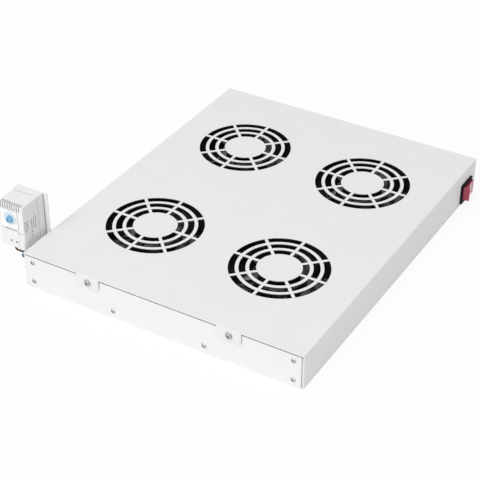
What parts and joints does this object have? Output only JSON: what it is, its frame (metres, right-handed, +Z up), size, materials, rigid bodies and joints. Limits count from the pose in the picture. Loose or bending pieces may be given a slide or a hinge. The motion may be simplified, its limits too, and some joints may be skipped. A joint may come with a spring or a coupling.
{
  "type": "rack fan tray",
  "caption": "Folded sheet-metal rack tray with axial fans under punched ring grilles, a side rocker switch, a rear power inlet and a small dial thermostat.",
  "frame": {"origin": "centre of the four mounting holes, on the plane the tray rests on", "axes": "+X to the side with the rocker switch, +Y to the rear with the power inlet, +Z up through the grilles"},
  "size_m": [0.412, 0.4553, 0.0952],
  "materials": {
    "sheet_metal": "fine powder coat",
    "fan_plastic": "matt black",
    "rotor_plastic": "satin black",
    "switch_plastic": "satin black",
    "rocker_plastic": "gloss red",
    "inlet_plastic": "matt black",
    "steel": "zinc plated",
    "brass": "bare",
    "block_plastic": "matt",
    "cable": "matt",
    "brown_insulation": "satin",
    "blue_insulation": "satin",
    "rubber": "matt",
    "stat_plastic": "fine matt",
    "scale": "matt",
    "knob_plastic": "satin blue"
  },
  "bodies": {
    "housing": {"top_cover": "sheet_metal", "base_plate": "sheet_metal", "front_panel": "sheet_metal", "rear_panel": "sheet_metal", "panel_rivets": "steel", "cover_screws": "steel", "switch_housing": "switch_plastic", "switch_terminals": "brass", "inlet_pins": "brass", "power_inlet": "inlet_plastic", "inlet_screws": "steel", "terminal_block": "block_plastic", "terminal_screws": "steel", "wiring_loom": "cable", "earth_screw": "brass", "thermostat_bracket": "sheet_metal", "bracket_rivets": "steel", "rail_rivets": "steel", "mounting_rail": "steel", "thermostat_base": "stat_plastic", "thermostat_case": "stat_plastic", "front_cover": "scale", "thermostat_screws": "steel", "bimetal_strip": "brass", "wire_grommet": "rubber", "brown_wire": "brown_insulation", "blue_wire": "blue_insulation", "fan_frame_1": "fan_plastic", "fan_frame_2": "fan_plastic", "fan_frame_3": "fan_plastic", "fan_frame_4": "fan_plastic"},
    "rocker": {"switch_rocker": "rocker_plastic"},
    "dial": {"setting_knob": "knob_plastic"},
    "rotor_1": {"fan_rotor_1": "rotor_plastic"},
    "rotor_2": {"fan_rotor_2": "rotor_plastic"},
    "rotor_3": {"fan_rotor_3": "rotor_plastic"},
    "rotor_4": {"fan_rotor_4": "rotor_plastic"}
  },
  "joints": [
    {"name": "rotor_1_spin", "type": "hinge", "parent": "housing", "child": "rotor_1", "pos_m": [-0.0825, -0.10225, 0.012], "axis": [0, 0, 1], "continuous": true},
    {"name": "rotor_2_spin", "type": "hinge", "parent": "housing", "child": "rotor_2", "pos_m": [0.0825, -0.10225, 0.012], "axis": [0, 0, 1], "continuous": true},
    {"name": "rotor_3_spin", "type": "hinge", "parent": "housing", "child": "rotor_3", "pos_m": [-0.0825, 0.10225, 0.012], "axis": [0, 0, 1], "continuous": true},
    {"name": "rotor_4_spin", "type": "hinge", "parent": "housing", "child": "rotor_4", "pos_m": [0.0825, 0.10225, 0.012], "axis": [0, 0, 1], "continuous": true},
    {"name": "rocker_tilt", "type": "hinge", "parent": "housing", "child": "rocker", "pos_m": [0.175, 0.195, 0.017], "axis": [0, 0, 1], "range_deg": [-24, 0]},
    {"name": "dial_turn", "type": "hinge", "parent": "housing", "child": "dial", "pos_m": [-0.204, -0.21, 0.076], "axis": [0, -1, 0], "range_deg": [-135, 135]}
  ]
}
